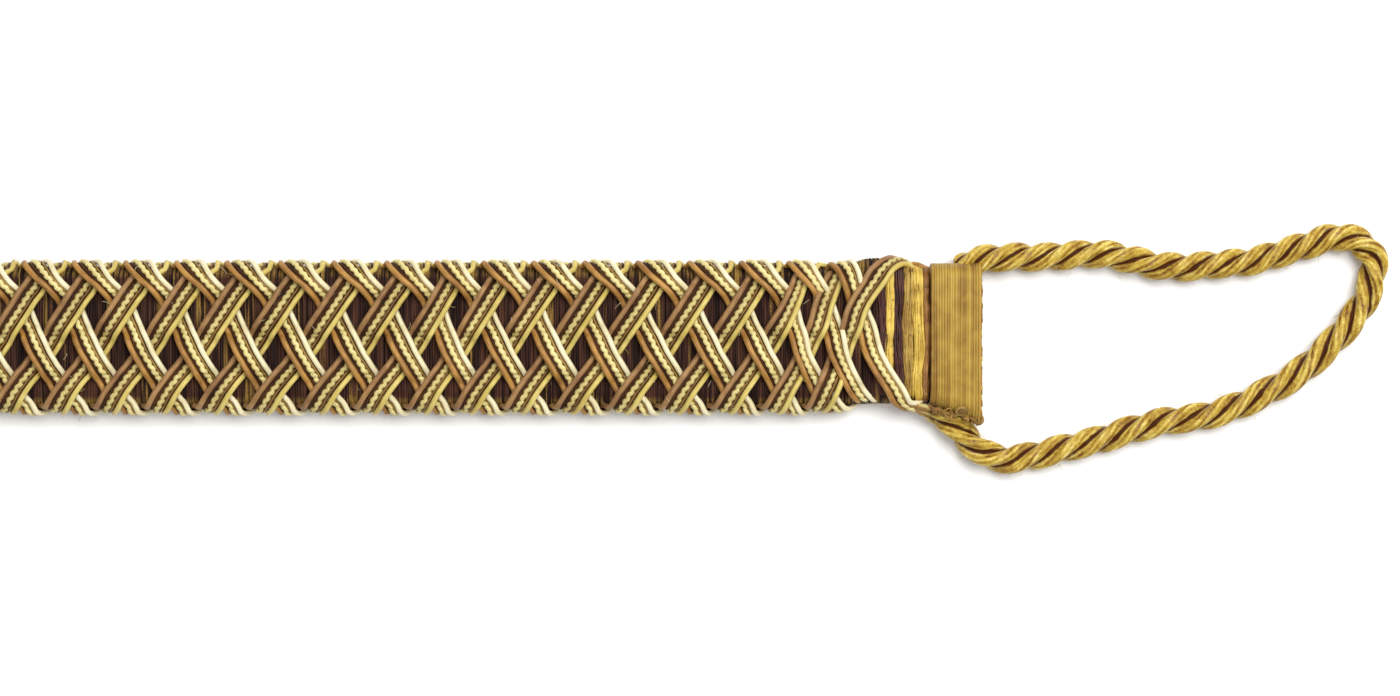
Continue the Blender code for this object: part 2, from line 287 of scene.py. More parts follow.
def amountAt(stops, place, hold=0.0):  # eases from stop to stop, level for the hold beside each
    if place <= stops[0][0]:
        return stops[0][1]
    for (low, here), (high, there) in zip(stops, stops[1:]):
        if place <= high:
            return here + (there - here) * rise(place, low + hold, high - low - 2 * hold)
    return stops[-1][1]


def hump(value, low, growth, high, decay):  # 1 between low and high, easing in and out
    return rise(value, low, growth) * (1 - rise(value, high, decay))


def softPositive(value, softness):
    return max(value, 0.0) + softness * log1p(exp(-abs(value) / softness))


def softLimit(value, low, high):
    soft = braid["turnSoftness"]
    return low + softPositive(high - low - softPositive(high - value, soft), soft)


def reach(turns, direction):  # place along the band after so many turns
    far = abs(turns)
    crowded = far - (halfLength - braid["crowdedFrom"]) / braid["advance"]
    past = crowded - braid["crowdedTurns"]
    lastAdvance = braid["downwardAdvance"] if turns * direction > 0 else braid["upwardAdvance"]
    length = braid["advance"] * far
    length += (braid["crowdedAdvance"] - braid["advance"]) * softPositive(crowded, braid["softness"])
    length += (lastAdvance - braid["crowdedAdvance"]) * softPositive(past, braid["softness"])
    return copysign(length, turns)


def turnsAt(place, end, direction):
    low, high = 0.0, 2 * halfLength / braid["advance"]
    for _ in range(50):
        middle = (low + high) / 2
        if abs(reach(end * middle, direction)) < place:
            low = middle
        else:
            high = middle
    return end * low


edgeTurns = turnsAt(halfLength - braid["lastEdge"], 1, rising)


def nearness(place):  # 0 along the even part of the band, 1 beside a collar
    return smooth((abs(place) - halfLength + braid["narrowFrom"]) / (braid["narrowFrom"] - braid["narrowTo"]))


def flatHalf(place):
    return band["flatHalf"] - band["endNarrowing"] * nearness(place)


def ovalPoint(place, turns, flat, edge, radius):  # a point on a flat oval, from the +Y edge over the upper face
    around = 4 * flat + tau * edge
    way = (turns % 1.0) * around
    quarter = pi * edge / 2
    upper = quarter + 2 * flat
    lower = upper + 2 * quarter
    if way < quarter:
        centre, angle = flat, way / edge
    elif way < upper:
        centre, angle = flat - (way - quarter), pi / 2
    elif way < lower:
        centre, angle = -flat, pi / 2 + (way - upper) / edge
    elif way < lower + 2 * flat:
        centre, angle = way - lower - flat, 3 * pi / 2
    else:
        centre, angle = flat, 3 * pi / 2 + (way - lower - 2 * flat) / edge
    return Vector((place, centre + radius * cos(angle), middleHeight + radius * sin(angle)))


def onOval(place, turns, height):
    return ovalPoint(place, turns, flatHalf(place), band["edgeRadius"], band["edgeRadius"] + height)


def bulge(place, y):  # the band's edge bulges beside a collar, on the side where its last strip turns over
    far, up = (place, y) if place > 0 else (-place, -y)
    amount = band["bulgeOut"] * rise(up, *band["bulgeOutRise"])
    amount += band["bulgeIn"] * rise(-up, *band["bulgeInRise"])
    return copysign(amount * hump(far, *band["bulgeAlong"]), place)


def perimeter(place):
    return 4 * flatHalf(place) + tau * band["edgeRadius"]


def makeStrips():
    strips = []
    starts = ((falling, 2 * braid["rowOffset"] - edgeTurns), (rising, edgeTurns))
    for direction, start in starts:
        for number in range(braid["strips"]):
            base = start + number / braid["strips"]
            last = edgeTurns + braid["endReach"]
            right = last - (direction * base + last) % 0.5
            left = -last + (0.5 - (direction * base - last) % 0.5) % 0.5
            word = "Falling" if direction == falling else "Rising"
            strips.append({
                "name": f"{word}{number + 1}", "node": f"strip_{word.lower()}_{number + 1}",
                "direction": direction, "base": base, "left": left, "right": right,
            })
    return strips


def isLate(turns):
    return abs(turns) > edgeTurns - braid["lateMargin"]


def crossings(strip, strips):
    met = []
    for other in strips:
        if other["direction"] == strip["direction"]:
            continue
        first = (other["base"] - strip["base"]) * strip["direction"] / 2
        start = max(strip["left"], other["left"])
        end = min(strip["right"], other["right"])
        turns = first + ceil((start - first) * 2) / 2
        while turns < end:
            place = strip["base"] + strip["direction"] * turns
            row = round((place - braid["rowOffset"]) * rows)
            met.append((turns, (1 if row % 2 == 0 else -1) * strip["direction"]))
            turns += 0.5
    return sorted(met)


def levelStops(strip, strips):
    met = crossings(strip, strips)
    leftLevel = -1 if isLate(strip["left"]) else 1
    rightLevel = 1 if isLate(strip["right"]) else -1
    first, last = met[0], met[-1]
    hold = braid["endHold"]
    before = [(first[0] - hold - 1 / rows, leftLevel), (first[0] - hold, first[1])]
    after = [(last[0] + hold, last[1]), (last[0] + hold + 1 / rows, rightLevel)]
    return before + met + after


def comesFromAbove(strip, turns, side):  # whether a strip comes to its last edge over the upper face
    return (strip["base"] + strip["direction"] * (turns - side * braid["lookBack"])) % 1.0 < 0.5


def stripCentre(strip, turns):
    stops = [
        braid["edgePast"] if comesFromAbove(strip, strip[word], side) else -braid["edgeShort"]
        for word, side in (("left", -1), ("right", 1))
    ]
    held = softLimit(turns, strip["left"] - stops[0], strip["right"] + stops[1])
    return reach(turns, strip["direction"]), strip["base"] + strip["direction"] * held


# ---- cords as bevelled curves, gathered in one mesh
def addCords(shape, lines, finish, finer=1, cyclic=False):
    curve = bpy.data.curves.new("cord", "CURVE")
    curve.dimensions = "3D"
    curve.bevel_depth = 1.0
    curve.bevel_resolution = finer
    curve.use_fill_caps = not cyclic
    for points, radius in lines:
        spline = curve.splines.new("POLY")
        spline.use_cyclic_u = cyclic
        spline.points.add(len(points) - 1)
        spline.points.foreach_set("co", [value for point in points for value in (*point, 1.0)])
        radii = radius if isinstance(radius, list) else [radius] * len(points)
        spline.points.foreach_set("radius", radii)
    addCurve(shape, curve, finish)


def addCurve(shape, curve, finish):
    holder = stand("cord", curve)
    graph = bpy.context.evaluated_depsgraph_get()
    mesh = bpy.data.meshes.new_from_object(holder.evaluated_get(graph))
    count = len(shape.faces)
    shape.from_mesh(mesh)
    shape.faces.ensure_lookup_table()
    for face in shape.faces[count:]:
        face.material_index = finish
    bpy.data.objects.remove(holder)
    bpy.data.meshes.remove(mesh)
    bpy.data.curves.remove(curve)


def makePiece(name, shape, materials, nodes=()):
    bmesh.ops.remove_doubles(shape, verts=shape.verts, dist=1e-7)
    bmesh.ops.recalc_face_normals(shape, faces=shape.faces)
    mesh = bpy.data.meshes.new(name)
    shape.to_mesh(mesh)
    shape.free()
    mesh.shade_smooth()
    for material in materials:
        mesh.materials.append(finishes.get(material, material))
    piece = stand(name, mesh)
    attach(piece, "root")
    if nodes:
        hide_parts(*nodes)
    return piece


def turned(points):
    return [Vector((-point[0], -point[1], point[2])) for point in points]


ends = (("Right", list), ("Left", turned))

# ---- rope loops
rope = {
    "diameter": 0.0088,
    # length of a full turn of a strand, by distance along the rope
    "lays": ((0.0, 0.0292), (0.125, 0.0292), (0.145, 0.035), (0.185, 0.0385), (0.205, 0.033), (0.4, 0.0325)),
    "strands": 3,
    "yarns": 4,  # yarns that show in each strand
    "strandCentre": 0.545,  # of each round strand, as a share of the rope's radius
    "strandRadius": 0.512,
    "yarnRelief": 0.034,
    "sides": 72,
    "lumps": 0.022,
    "topTaper": 0.0095,
    "lowTaper": 0.006,
    "step": 0.0007,
    "pathStep": 0.003,
    "height": 0.0047,
    "exitHeight": 0.006,
    "straight": 3,  # points of the route over which it comes down from its exit
    "samples": 12,
    "endRadius": 0.42,  # of the full one, where an end rounds off
    "lumpsPerMetre": 160,
    "golds": (
        (0.08, (0.15, 0.06, 0.006)), (0.32, (0.33, 0.185, 0.02)), (0.56, (0.48, 0.325, 0.042)),
        (0.8, (0.68, 0.52, 0.125)), (1.0, (0.88, 0.76, 0.36)),
    ),
    # painted shade: the grooves between the strands are coloured a dark red-brown
    "grooveShadeColour": (0.072, 0.016, 0.002),
    "grooveShadeRange": (0.8, 1.03),  # over which the painted groove shade darkens, from a strand's crest outward
    "grooveShadeWander": 0.34,
    "relief": 0.00022,
}
loopRoute = (  # from its collar's outer face and the middle line, in tenths of a millimetre
    (-80, 222), (8, 243), (96, 250), (195, 250), (295, 257), (381, 259), (468, 243), (543, 225), (642, 219),
    (741, 228), (840, 237), (939, 264), (1026, 291), (1107, 313), (1175, 299), (1218, 253), (1218, 188),
    (1194, 116), (1144, 42), (1076, -33), (989, -110), (890, -169), (791, -215), (691, -245), (580, -259),
    (468, -287), (369, -318), (270, -341), (171, -366), (84, -378), (16, -361), (-37, -318), (-92, -258),
    (-148, -216),
)


def routePoints():
    last = len(loopRoute) - 1
    points = []
    for i, (x, y) in enumerate(loopRoute):
        down = min(min(i, last - i) / rope["straight"], 1.0)
        height = rope["exitHeight"] + (rope["height"] - rope["exitHeight"]) * down
        points.append(Vector((halfLength + x / 10000, y / 10000, height)))
    return points


def smoothRoute(points, samples):
    path = []
    last = len(points) - 1
    for i in range(last):
        before, here = points[max(i - 1, 0)], points[i]
        there, after = points[i + 1], points[min(i + 2, last)]
        for step in range(samples):
            t = step / samples
            path.append(
                0.5 * (2 * here + (there - before) * t
                       + (2 * before - 5 * here + 4 * there - after) * t * t
                       + (3 * here - before - 3 * there + after) * t * t * t)
            )
    path.append(points[last])
    return path


def evenly(path, step):
    lengths = [0.0]
    for here, there in zip(path, path[1:]):
        lengths.append(lengths[-1] + (there - here).length)
    count = max(round(lengths[-1] / step), 1)
    even, at = [], 0
    for i in range(count + 1):
        target = lengths[-1] * i / count
        while at < len(path) - 2 and lengths[at + 1] < target:
            at += 1
        share = (target - lengths[at]) / (lengths[at + 1] - lengths[at])
        even.append(path[at].lerp(path[at + 1], min(share, 1.0)))
    return even


def ropeMaterial():
    material, shader, body = startMaterial("twisted gold rope", 0.42, 0.26)
    along = body.make("ShaderNodeTexCoord", output="UV")
    strand = splitUp(along, 1) * rope["strands"]
    inStrand = strand.make("ShaderNodeMath", {"operation": "FRACT"}, {0: strand})
    offCrest = (inStrand - 0.5) * 2.0
    offCrest = offCrest.make("ShaderNodeMath", {"operation": "ABSOLUTE"}, {0: offCrest})
    # painted shade and highlight: darker in the creases between yarns and lighter on their crests, in step with
    # the profile's yarn relief
    yarns = inStrand * rope["yarns"] * tau
    yarnShadeAndRelief = yarns.make("ShaderNodeMath", {"operation": "COSINE"}, {0: yarns}) * -0.5 + 0.5
    fibres = grain(along, 1.0, 3.0, (110.0, 60.0, 1.0))
    patches = grain(body, 170.0, 3.0)
    specks = grain(body, 1100.0, 2.0)
    shine = grain(along, 1.0, 1.0, (60.0, 15.0, 1.0))
    tone = yarnShadeAndRelief * 0.3 + between(fibres) * 0.24 + between(patches) * 0.18
    tone = tone + between(specks) * 0.2 + between(shine) * 0.32 - 0.14
    gold = tone.make("ShaderNodeValToRGB", {"stops": rope["golds"]}, {"Fac": tone})
    # painted shade in the grooves between the strands, its edge wandering a little
    wander = grain(body, 300.0, 2.0) * rope["grooveShadeWander"]
    grooveShadeMask = between(offCrest + wander, *rope["grooveShadeRange"])
    colour = blendColours(grooveShadeMask, gold, rope["grooveShadeColour"])
    height = yarnShadeAndRelief * 0.5 + fibres * 0.6 + specks * 0.4
    return joinUp(material, shader, colour, height, 0.5, rope["relief"], fibres * 0.25 + 0.32)


def ropeProfile():
    profile = bpy.data.curves.new("rope profile", "CURVE")
    profile.dimensions = "2D"
    spline = profile.splines.new("POLY")
    spline.points.add(rope["sides"] - 1)
    spline.use_cyclic_u = True
    for i, knot in enumerate(spline.points):
        share = i / rope["sides"]
        off = ((share * rope["strands"]) % 1.0 - 0.5) * tau / rope["strands"]
        across = rope["strandCentre"] * sin(off)
        radius = rope["strandCentre"] * cos(off) + sqrt(rope["strandRadius"] ** 2 - across ** 2)
        radius -= rope["yarnRelief"] * (0.5 + 0.5 * cos(tau * share * rope["strands"] * rope["yarns"]))
        angle = tau * share
        radius *= rope["diameter"] / 2
        knot.co = (radius * cos(angle), radius * sin(angle), 0.0, 1.0)
    return stand("rope profile", profile)


def makeRope(word, place, material):
    path = place(smoothRoute(routePoints(), rope["samples"]))
    length = sum((there - here).length for here, there in zip(path, path[1:]))
    points = evenly(path, rope["step"])
    curve = bpy.data.curves.new("rope", "CURVE")
    curve.dimensions = "3D"
    curve.twist_mode = "Z_UP"
    curve.bevel_mode = "OBJECT"
    curve.use_fill_caps = True
    profile = ropeProfile()
    curve.bevel_object = profile
    spline = curve.splines.new("POLY")
    spline.points.add(len(points) - 1)
    step = length / (len(points) - 1)
    twist = 0.0
    for i, (knot, point) in enumerate(zip(spline.points, points)):
        run = step * i
        knot.co = (*point, 1.0)
        knot.tilt = -tau * twist
        twist += step / amountAt(rope["lays"], run)
        taper = min(run / rope["topTaper"], (length - run) / rope["lowTaper"], 1.0)
        end = rope["endRadius"]
        knot.radius = end + (1 - end) * sqrt(1 - (1 - taper) ** 2)
        knot.radius *= 1 + rope["lumps"] * noise.noise(Vector((run * rope["lumpsPerMetre"], 3.0, 8.0)))
    shape = bmesh.new()
    addCurve(shape, curve, 0)
    bpy.data.objects.remove(profile)
    piece = makePiece(f"rope{word}", shape, [material], [f"loop_{word.lower()}"])
    route = evenly(path, rope["pathStep"])


ropeGold = ropeMaterial()
for word, place in ends:
    makeRope(word, place, ropeGold)
print("rope loops made")

# ---- braided strips, each of five cords side by side
cords = {
    "perTurn": 80,
    "pliesPerTurn": 300,
    "intoCollar": 0.003,
    # the plain cords: place across the strip, as a share of its width, drop, radius and finish
    "plain": (
        (-0.39, 0.0, 0.00094, 0), (0.39, 0.0, 0.00088, 1), (-0.195, 0.00045, 0.00055, 2),
        (0.195, 0.00045, 0.00055, 2), (0.1794, -0.00005, 0.00034, 5),
    ),
    "thickRadius": 0.00081,  # the bright cord, which snakes along the strip's middle
    "thickOffset": 0.00025,
    "thickRise": 0.0001,
    "thinRadius": 0.00032,  # the brown cord that shows in its bends
    "thinOffset": 0.00066,
    "thinDrop": 0.00025,
    "plyLay": 0.00235,
    "besideShift": 0.05,
    "lookAhead": 0.002,  # turns
    "drawRise": (-0.0035, 0.0045),  # where the ends draw in, from the collar's face
    "drawMargin": 0.0022,
    "drawFlat": 0.35,
    # how far the last strips bow back from a collar, by height over the middle line
    "bowRise": (0.128, 0.041),
    "bowDepth": 0.004,
    "faceDepth": 0.003,  # over which the lean and the spread set in, at the band's middle height
    "bow": {
        falling: ((-0.024, 0.0), (-0.0205, 0.0034), (-0.006, 0.0046), (0.0055, 0.0022), (0.02, 0.0004)),
        rising: ((-0.022, 0.0008), (0.0008, 0.0036), (0.011, 0.0062), (0.018, 0.0058), (0.0236, 0.004)),
    },
    # how far the weave leans along the band, in the same way
    "lean": {
        falling: ((-0.022, 0.0), (-0.006, 0.001), (0.0023, 0.0021), (0.0122, 0.0036), (0.024, 0.0006)),
        rising: ((-0.022, 0.0), (-0.002, 0.0016), (0.012, 0.0019), (0.024, 0.0015)),
    },
    # the hand-laid strips lie closer in some places, so they stand this far off their even places
    "spacing": (
        (-0.0342, -0.0009), (-0.0156, 0.0), (0.0061, 0.001), (0.0185, 0.0012), (0.0402, -0.0006),
        (0.0588, -0.0009), (0.0774, -0.0006), (0.096, 0.0), (0.1146, 0.0004), (0.1301, 0.0),
        (0.146, -0.002), (0.157, 0.0),
    ),
    "edgeSpread": 0.35,  # a falling strip spreads where it comes over the edge
    "edgeSpreadRise": (0.0165, 0.005),
    "stray": 0.00055,  # and each strip strays a little of its own
    "strayPerTurn": 3.1,
}


def bow(direction, x, y, height):
    far, up = (x, y) if x > 0 else (-x, -y)
    share = rise(far, *cords["bowRise"])
    share *= smooth((height - middleHeight) / cords["bowDepth"] + 1)
    return copysign(amountAt(cords["bow"][direction], up) * share, x)


def onFace(x, height):  # 1 on the upper face, 0 below it and beside a collar
    return smooth((height - middleHeight) / cords["faceDepth"] + 0.5) * (1 - nearness(x))


def lean(direction, x, y, height):
    return amountAt(cords["lean"][direction], y) * onFace(x, height)


def edgeSpread(direction, x, y, height):
    over = rise(y, *cords["edgeSpreadRise"]) * onFace(x, height)
    return cords["edgeSpread"] * over if direction == falling else 0.0


def cordPoint(strip, stops, turns, shift, drop, radius):
    place, around = stripCentre(strip, turns)
    ahead, aroundAhead = stripCentre(strip, turns + cords["lookAhead"])
    along = Vector((ahead - place, (aroundAhead - around) * perimeter(place), 0.0)).normalized()
    width = braid["fallingWidth"] if strip["direction"] == falling else braid["risingWidth"]
    shift *= width * (1 - (1 - braid["endWidth"]) * nearness(place))
    centre = onOval(place, around, 0.0)
    shift *= 1 + edgeSpread(strip["direction"], *centre)
    x = place - along.y * shift
    height = band["weaveLift"] * amountAt(stops, turns, braid["hold"]) - drop
    point = onOval(x, around + along.x * shift / perimeter(place), height)
    direction = strip["direction"]
    point.x += lean(direction, *point) - bow(direction, *point) + amountAt(cords["spacing"], point.x)
    seed = Vector((turns * cords["strayPerTurn"], strip["base"] * 17.0, direction * 5.0))
    point.x += cords["stray"] * noise.noise(seed)
    point.y += bulge(point.x, point.y)
    # the ends draw in under the collar
    inside = rise(abs(x) - collarFace, *cords["drawRise"])
    top = collar["top"] if x > 0 else -collar["lowInner"]
    low = collar["lowInner"] if x > 0 else -collar["top"]
    drawn = min(max(point.y, low + cords["drawMargin"]), top - cords["drawMargin"])
    point.y += (drawn - point.y) * inside
    point.z += (middleHeight - point.z) * cords["drawFlat"] * inside
    point.z = max(point.z, radius)
    return point


def makeStrip(strip, strips):
    stops = levelStops(strip, strips)
    reachTo = collarFace + cords["intoCollar"]
    start, end = (turnsAt(reachTo, side, strip["direction"]) for side in (-1, 1))

    def line(shift, drop, radius, perTurn):
        steps = round((end - start) * perTurn)
        places = [start + (end - start) * i / steps for i in range(steps + 1)]
        return [cordPoint(strip, stops, turns, shift, drop, radius) for turns in places]

    # the brown cord lies on the left of every strip, as the photograph shows them
    side = -1 if strip["direction"] == falling else 1
    shape = bmesh.new()
    for shift, drop, radius, finish in cords["plain"]:
        addCords(shape, [(line(side * shift, drop, radius, cords["perTurn"]), radius)], finish)
    # a bright cord snakes along the strip's middle, a brown one shows in its bends
    lowest = cords["thinRadius"] + cords["thinOffset"]
    centre, beside = (line(shift, 0.0, lowest, cords["pliesPerTurn"]) for shift in (0.0, cords["besideShift"]))
    thick, thin = [], []
    run = 0.0
    for i, (point, near) in enumerate(zip(centre, beside)):
        ahead = (centre[min(i + 1, len(centre) - 1)] - centre[max(i - 1, 0)]).normalized()
        across = (near - point).normalized()
        over = ahead.cross(across) * side
        if i:
            run += (point - centre[i - 1]).length
        angle = tau * run / cords["plyLay"]
        aside, up = cos(angle), sin(angle)
        thick.append(point + across * aside * cords["thickOffset"] + over * up * cords["thickRise"])
        thin.append(point - across * aside * cords["thinOffset"] - over * cords["thinDrop"])
    addCords(shape, [(thick, cords["thickRadius"])], 3)
    addCords(shape, [(thin, cords["thinRadius"])], 4, finer=0)
    # the falling strips take lighter finishes than the rising ones: painted highlight where the light runs
    # across their cords
    if strip["direction"] == falling:
        names, slot = ("brownFalling", "goldPaintedHighlight", "dark", "tanPlyPaintedHighlight", "brownPly", "ochre"), "falling_strip"
    else:
        names, slot = ("brownRising", "gold", "dark", "tanPly", "brownPly", "brownPly"), "rising_strip"
    makePiece(f"strip{strip['name']}", shape, names, [strip["node"]])


allStrips = makeStrips()
for strip in allStrips:
    makeStrip(strip, allStrips)
print("braided strips made")

# ---- core: dark yarn wound crosswise
core = {
    "radius": 0.0028,
    "inset": -0.0014,
    "endInset": 0.0004,
    "bulgeShare": 1.35,
    "endSpread": 0.05,  # under the last strips, which stand off a little
    "spreadAlong": (0.148, 0.012, 0.169, 0.006),
    "intoCollar": 0.001,
    "pitch": 0.00082,
    "threadRadius": 0.00052,
    "pointsPerTurn": 24,
    "wander": 0.00018,
    "darks": ((0.012, 0.004, 0.003), (0.088, 0.034, 0.019)),
    "tans": ((0.14, 0.07, 0.017), (0.34, 0.21, 0.045)),
    "tanEdge": (0.0178, 0.02),  # by distance from the middle line
    "relief": 0.00012,
}


def coreOval(place, turns, out):  # the same oval, drawn in to the core's size
    flat = flatHalf(place) - core["inset"] - core["endInset"] * nearness(place)
    point = ovalPoint(place, turns, flat, core["radius"], core["radius"] + out)
    point.y += bulge(place, point.y) * core["bulgeShare"]
    return point


def coreMaterial():
    material, shader, body = startMaterial("dark wound core yarn", 0.7, 0.15)
    streaks = grain(body, 1.0, 2.0, (1300.0, 45.0, 45.0))
    bundles = grain(body, 1.0, 1.0, (300.0, 16.0, 16.0))
    fine = grain(body, 2600.0, 2.0)
    dark = blendColours(between(streaks, 0.35, 0.75), *core["darks"])
    tan = blendColours(between(fine), *core["tans"])
    y = splitUp(body, 1)
    edge = between(y.make("ShaderNodeMath", {"operation": "ABSOLUTE"}, {0: y}), *core["tanEdge"])
    gilt = between(bundles, 0.56, 0.66) * between(streaks, 0.44, 0.58)
    colour = blendColours(gilt + edge * between(streaks, 0.4, 0.62) * 0.8, dark, tan)
    return joinUp(material, shader, colour, streaks * 0.5 + fine * 0.5, 0.4, core["relief"])


def makeCore():
    length = 2 * (collarFace + core["intoCollar"])
    turnsWound = round(length / core["pitch"])
    count = turnsWound * core["pointsPerTurn"]
    points = []
    for i in range(count + 1):
        x = -length / 2 + length * i / count
        turns = i / core["pointsPerTurn"]
        wander = core["wander"] * noise.noise(Vector((turns * 2.3, 4.0, 0.5)))
        point = coreOval(x + wander, turns, 0.0)
        point.y *= 1 + core["endSpread"] * hump(abs(x), *core["spreadAlong"])
        points.append(point)
    shape = bmesh.new()
    addCords(shape, [(points, core["threadRadius"])], 0)
    makePiece("coreWinding", shape, [coreMaterial()], ["core"])


makeCore()
print("core wound")

# ---- satin floss in bands beside each collar
floss = {
    "filaments": 7,
    "filamentRadius": 0.00042,
    "points": 48,
    "wander": 0.00075,
    "quickWander": 0.6,  # of the slow one
    "quickPace": 2.2,
    "lift": 0.00015,
    "lowDraw": 0.0014,  # drawn in at the lower edge, where the last strips turn over it
    "lowRise": (0.0165, 0.0035),
    # distance of each bundle's middle from the collar's inner face, its width, its height and its finish
    "bundles": (
        (0.0144, 0.0026, 0.0007, 0), (0.012, 0.0027, 0.0008, 1), (0.0093, 0.0032, 0.0007, 0),
        (0.0063, 0.003, 0.0009, 2), (0.0034, 0.0032, 0.0013, 1), (0.0009, 0.0018, 0.0012, 3),
    ),
    "finishes": (
        ("dark floss", (0.026, 0.007, 0.005), (0.085, 0.024, 0.014)),
        ("gold floss", (0.44, 0.27, 0.036), (0.8, 0.58, 0.115)),
        ("old gold floss", (0.24, 0.125, 0.02), (0.52, 0.36, 0.078)),
        ("brown floss", (0.16, 0.062, 0.013), (0.38, 0.19, 0.05)),
    ),
    "fleckTone": 0.45,  # of the dark colour
    "relief": 0.0001,
}


def flossMaterial(name, dark, light):
    material, shader, body = startMaterial(name, 0.4, 0.25)
    silk = grain(body, 1.0, 2.0, (2200.0, 60.0, 60.0))
    patches = grain(body, 240.0, 3.0)
    flecks = grain(body, 1.0, 3.0, (900.0, 420.0, 420.0))
    satin = blendColours(between(silk * 0.5 + patches * 0.5, 0.35, 0.68), dark, light)
    fleck = tuple(value * floss["fleckTone"] for value in dark)
    colour = blendColours(between(flecks, 0.6, 0.72) * 0.75, satin, fleck)
    return joinUp(material, shader, colour, silk, 0.4, floss["relief"], silk * 0.2 + 0.26)


def makeFloss():
    materials = [flossMaterial(*finish) for finish in floss["finishes"]]
    for word, place in ends:
        shape = bmesh.new()
        for number, (distance, width, height, finish) in enumerate(floss["bundles"]):
            rings = []
            for filament in range(floss["filaments"]):
                angle = pi * (filament + 0.5) / floss["filaments"]
                shift = -cos(angle) * (width / 2 - floss["filamentRadius"] * 0.5)
                out = sin(angle) * height
                ring = []
                for i in range(floss["points"]):
                    turns = i / floss["points"]
                    way = tau * turns
                    seed = Vector((cos(way) * 1.6, sin(way) * 1.6, number * 3.7))
                    slow = floss["wander"] * noise.noise(seed)
                    seed.z += filament * 0.35
                    quick = floss["wander"] * floss["quickWander"] * noise.noise(seed * floss["quickPace"])
                    x = collarFace - distance + shift + slow + quick
                    point = coreOval(x, turns, out + floss["lift"] + quick * 0.4)
                    point.y += floss["lowDraw"] * rise(-point.y, *floss["lowRise"])
                    ring.append(point)
                rings.append((place(ring), floss["filamentRadius"]))
            addCords(shape, rings, finish, cyclic=True)
        makePiece(f"floss{word}", shape, materials)


makeFloss()
print("floss made")


# ---- collars: binding thread wound tight over the ends
def collarMaterial():
    material, shader, body = startMaterial("gold binding thread", 0.45, sheen=0.04)
    x = splitUp(body, 0)
    far = x.make("ShaderNodeMath", {"operation": "ABSOLUTE"}, {0: x})
    inner = between(far, *(collarFace + away for away in collar["innerShade"]))
    turns = grain(body, 1.0, 1.0, (1250.0, 7.0, 7.0))
    bands = grain(body, 1.0, 1.0, (420.0, 5.0, 5.0))
    fibres = grain(body, 1.0, 3.0, (5200.0, 160.0, 160.0))
    patches = grain(body, 240.0, 3.0)
    tone = between(turns) * 0.36 + between(bands) * 0.34
    tone = tone + fibres * 0.25 + between(patches) * 0.22 - inner * 0.3 - 0.03
    gold = tone.make("ShaderNodeValToRGB", {"stops": collar["golds"]}, {"Fac": tone})
    edge = between(far, *(halfLength + away for away in collar["edgeBand"]))
    colour = blendColours(edge * 0.6, gold, collar["edgeColour"])
    height = turns * 0.2 + fibres
    return joinUp(material, shader, colour, height, 0.35, collar["relief"], fibres * 0.2 + 0.36)


def collarLow(distance):  # the slanted lower edge, at a distance from the outer face
    return collar["lowOuter"] + (collar["lowInner"] - collar["lowOuter"]) * distance / collar["length"]


def collarRing(distance, inset):  # points round the collar at one distance from its outer face
    low = collarLow(distance) + inset
    top = collar["top"] - inset
    high = collar["thickness"] - inset
    rounding = collar["rounding"] - inset
    corners = (
        (top - rounding, inset + rounding, -90), (top - rounding, high - rounding, 0),
        (low + rounding, high - rounding, 90), (low + rounding, inset + rounding, 180),
    )
    ring = []
    for y, z, start in corners:
        for step in range(collar["cornerSteps"] + 1):
            angle = radians(start + 90 * step / collar["cornerSteps"])
            ring.append((y + rounding * cos(angle), z + rounding * sin(angle)))
        if start in (0, 180):  # points along the two wide faces
            following = (low + rounding, high) if start == 0 else (top - rounding, inset)
            here = ring[-1]
            for share in (0.25, 0.5, 0.75):
                ring.append((here[0] + (following[0] - here[0]) * share, here[1]))
    return ring


def makeCollars():
    gold = collarMaterial()
    radius = collar["threadRadius"]
    for word, place in ends:
        perTurn = len(collarRing(0.0, radius))
        count = perTurn * collar["threadTurns"]
        span = collar["length"] - 2 * radius
        points = []
        for i in range(count + 1):
            distance = radius + span * i / count
            y, z = collarRing(distance, radius)[i % perTurn]
            jitter = collar["threadJitter"] * noise.noise(Vector((i * 0.21, 7.0, 1.5)))
            points.append(Vector((halfLength - distance + jitter, y, z)))
        shape = bmesh.new()
        addCords(shape, [(place(points), radius)], 0, finer=2)
        makePiece(f"collarThread{word}", shape, [gold], [f"collar_{word.lower()}"])
        # the bound yarn ends inside, a rounded block just under the thread
        body = bmesh.new()
        bmesh.ops.create_cube(body, size=1.0)
        inset = radius * collar["bodyInset"]
        for corner in body.verts:
            distance = inset if corner.co.x > 0 else collar["length"] - inset
            corner.co.x = halfLength - distance
            corner.co.y = collar["top"] - inset if corner.co.y > 0 else collarLow(distance) + inset
            corner.co.z = collar["thickness"] - inset if corner.co.z > 0 else inset
        edges = [e for e in body.edges if abs(e.verts[0].co.x - e.verts[1].co.x) > collar["length"] / 2]
        bmesh.ops.bevel(
            body, geom=edges, offset=collar["rounding"] - inset, offset_type="OFFSET",
            segments=collar["bodySegments"], profile=0.5, affect="EDGES", material=-1,
        )
        if place is turned:
            bmesh.ops.transform(body, matrix=Matrix.Rotation(pi, 4, "Z"), verts=body.verts)
        makePiece(f"collarBody{word}", body, [gold])


makeCollars()
print("collars wound")

